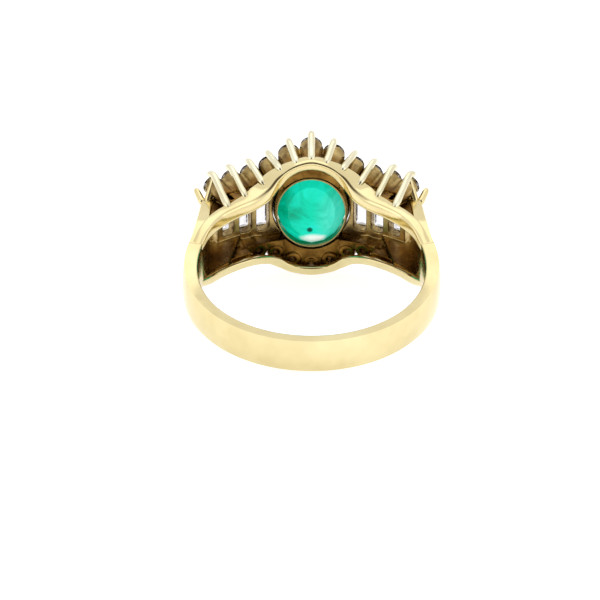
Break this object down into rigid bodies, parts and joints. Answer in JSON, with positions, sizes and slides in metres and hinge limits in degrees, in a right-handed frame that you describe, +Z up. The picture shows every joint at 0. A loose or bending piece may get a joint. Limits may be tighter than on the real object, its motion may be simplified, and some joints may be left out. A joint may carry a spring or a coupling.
{
  "type": "cocktail ring",
  "caption": "Yellow gold cocktail ring with an oval green stone in a tapered collet, step-cut baguettes beside it, rows of claw-set round stones, wavy gallery rails and forked shoulders.",
  "frame": {"origin": "centre of the bounding box's bottom, on the table that the ring lies on", "axes": "+Z up from the table, +Y from the back of the band towards the head with the stones, +X to the right seen from the band's back"},
  "size_m": [0.0196, 0.0228, 0.0122],
  "materials": {
    "yellow_gold": "polished yellow gold, a little worn",
    "green_stone": "polished bluish green oval stone",
    "clear_stone": "polished colourless stone"
  },
  "bodies": {
    "root": {"baguette_left_1": "clear_stone", "baguette_left_2": "clear_stone", "baguette_left_3": "clear_stone", "baguette_right_1": "clear_stone", "baguette_right_2": "clear_stone", "baguette_right_3": "clear_stone", "claw_lower_left_1": "yellow_gold", "claw_lower_left_2": "yellow_gold", "claw_lower_left_3": "yellow_gold", "claw_lower_left_4": "yellow_gold", "claw_lower_left_5": "yellow_gold", "claw_lower_right_1": "yellow_gold", "claw_lower_right_2": "yellow_gold", "claw_lower_right_3": "yellow_gold", "claw_lower_right_4": "yellow_gold", "claw_lower_right_5": "yellow_gold", "claw_upper_left_1": "yellow_gold", "claw_upper_left_2": "yellow_gold", "claw_upper_left_3": "yellow_gold", "claw_upper_left_4": "yellow_gold", "claw_upper_left_5": "yellow_gold", "claw_upper_right_1": "yellow_gold", "claw_upper_right_2": "yellow_gold", "claw_upper_right_3": "yellow_gold", "claw_upper_right_4": "yellow_gold", "claw_upper_right_5": "yellow_gold", "emerald": "green_stone", "emerald_collet": "yellow_gold", "gallery_rail_lower": "yellow_gold", "gallery_rail_upper": "yellow_gold", "halo_seats_lower": "yellow_gold", "halo_seats_upper": "yellow_gold", "round_stone_lower_centre": "clear_stone", "round_stone_lower_left_1": "clear_stone", "round_stone_lower_left_2": "clear_stone", "round_stone_lower_left_3": "clear_stone", "round_stone_lower_left_4": "clear_stone", "round_stone_lower_left_5": "clear_stone", "round_stone_lower_right_1": "clear_stone", "round_stone_lower_right_2": "clear_stone", "round_stone_lower_right_3": "clear_stone", "round_stone_lower_right_4": "clear_stone", "round_stone_lower_right_5": "clear_stone", "round_stone_upper_centre": "clear_stone", "round_stone_upper_left_1": "clear_stone", "round_stone_upper_left_2": "clear_stone", "round_stone_upper_left_3": "clear_stone", "round_stone_upper_left_4": "clear_stone", "round_stone_upper_left_5": "clear_stone", "round_stone_upper_right_1": "clear_stone", "round_stone_upper_right_2": "clear_stone", "round_stone_upper_right_3": "clear_stone", "round_stone_upper_right_4": "clear_stone", "round_stone_upper_right_5": "clear_stone", "shank_band": "yellow_gold", "shoulder_arm_left": "yellow_gold", "shoulder_arm_right": "yellow_gold", "wing_seats_left": "yellow_gold", "wing_seats_right": "yellow_gold"}
  },
  "joints": []
}
